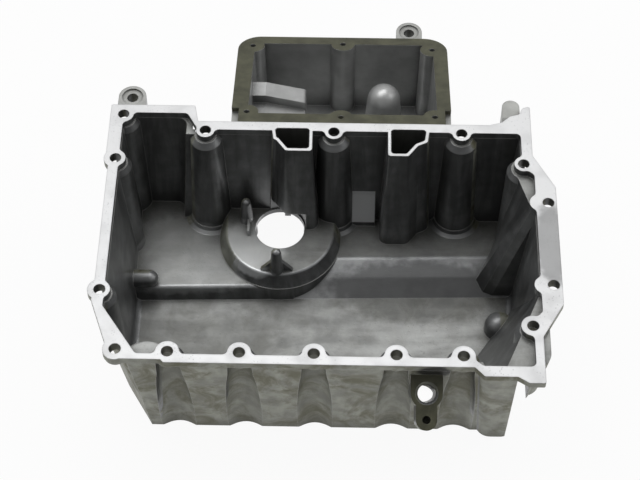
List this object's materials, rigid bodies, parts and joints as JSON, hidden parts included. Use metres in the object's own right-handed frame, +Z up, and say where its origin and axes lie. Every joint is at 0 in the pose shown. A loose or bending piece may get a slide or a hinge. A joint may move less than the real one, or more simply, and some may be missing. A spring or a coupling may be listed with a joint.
{
  "type": "engine oil pan",
  "caption": "Cast aluminium engine oil pan with a machined bolt land, stepped sump, level sensor platform, oil ducts and a covered rear chamber.",
  "frame": {"origin": "on the machined face that meets the engine block, inside the opening, midway between the bolt rows at its ends", "axes": "+Z up, out of the block face; +X along the engine towards the gearbox end; +Y across the engine towards the rear chamber"},
  "size_m": [0.3559, 0.4199, 0.132],
  "materials": {
    "cast_aluminium": "as cast, with machined sealing faces"
  },
  "bodies": {
    "root": {"oil_pan": "cast_aluminium"}
  },
  "joints": []
}
